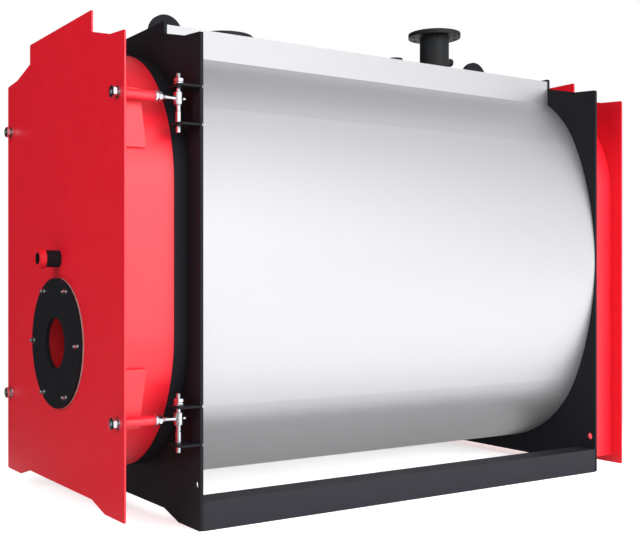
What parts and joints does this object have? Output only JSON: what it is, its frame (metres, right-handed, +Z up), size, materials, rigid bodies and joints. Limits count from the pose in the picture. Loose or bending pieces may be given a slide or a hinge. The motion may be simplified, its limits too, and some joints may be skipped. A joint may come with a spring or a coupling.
{
  "type": "industrial hot-water boiler",
  "caption": "Horizontal hot-water boiler: oval silver casing on base rails between black end plates, red swing door with burner plate, rear smoke box, top pipe flanges.",
  "frame": {"origin": "centre of the footprint on the floor, under the middle of the overall box", "axes": "+X to the right of someone facing the door, +Y from the door to the back, +Z up"},
  "size_m": [1.2, 2.732, 2.074],
  "materials": {
    "red_paint": "satin powder coat",
    "black_paint": "satin powder coat",
    "pipe_paint": "matt primer",
    "casing_metal": "smooth sheet",
    "zinc_steel": "bright zinc plate",
    "bare_steel": "bare mill steel",
    "lining": "castable lining",
    "gasket_board": "fibre gasket board",
    "seal_rope": "braided glass rope",
    "throat_paint": "heat-proof red",
    "sight_glass": "heat-proof glass"
  },
  "bodies": {
    "boiler": {"front_plate": "black_paint", "rear_plate": "black_paint", "right_rail": "black_paint", "left_rail": "black_paint", "front_ring": "black_paint", "furnace_tube": "bare_steel", "furnace_end": "bare_steel", "smoke_tubes": "bare_steel", "vessel": "bare_steel", "casing": "casing_metal", "top_cover": "casing_metal", "flow_pipe": "pipe_paint", "flow_flange": "pipe_paint", "flow_pocket": "pipe_paint", "return_pipe": "pipe_paint", "return_flange": "pipe_paint", "safety_socket": "pipe_paint", "front_lifting_lug": "black_paint", "rear_lifting_lug": "black_paint", "smoke_box": "red_paint", "rear_cover": "red_paint", "flue_spigot": "black_paint", "right_hinge_lugs": "black_paint", "right_hinge_pins": "zinc_steel", "left_hinge_lugs": "black_paint"},
    "door": {"door_panel": "red_paint", "door_drum": "red_paint", "door_lining": "lining", "burner_gasket": "gasket_board", "burner_disc": "black_paint", "burner_throat": "throat_paint", "sight_tube": "black_paint", "sight_ring": "red_paint", "sight_glass": "sight_glass", "door_seal": "seal_rope", "left_hinge_pins": "zinc_steel", "right_tie_rods": "zinc_steel", "right_tie_tubes": "red_paint", "right_gussets": "red_paint", "left_tie_rods": "zinc_steel", "left_tie_tubes": "red_paint", "left_gussets": "red_paint"}
  },
  "joints": [
    {"name": "door_hinge", "type": "hinge", "parent": "boiler", "child": "door", "pos_m": [0.551, -1.051, 0.956], "axis": [0, 0, 1], "range_deg": [0, 100]}
  ]
}
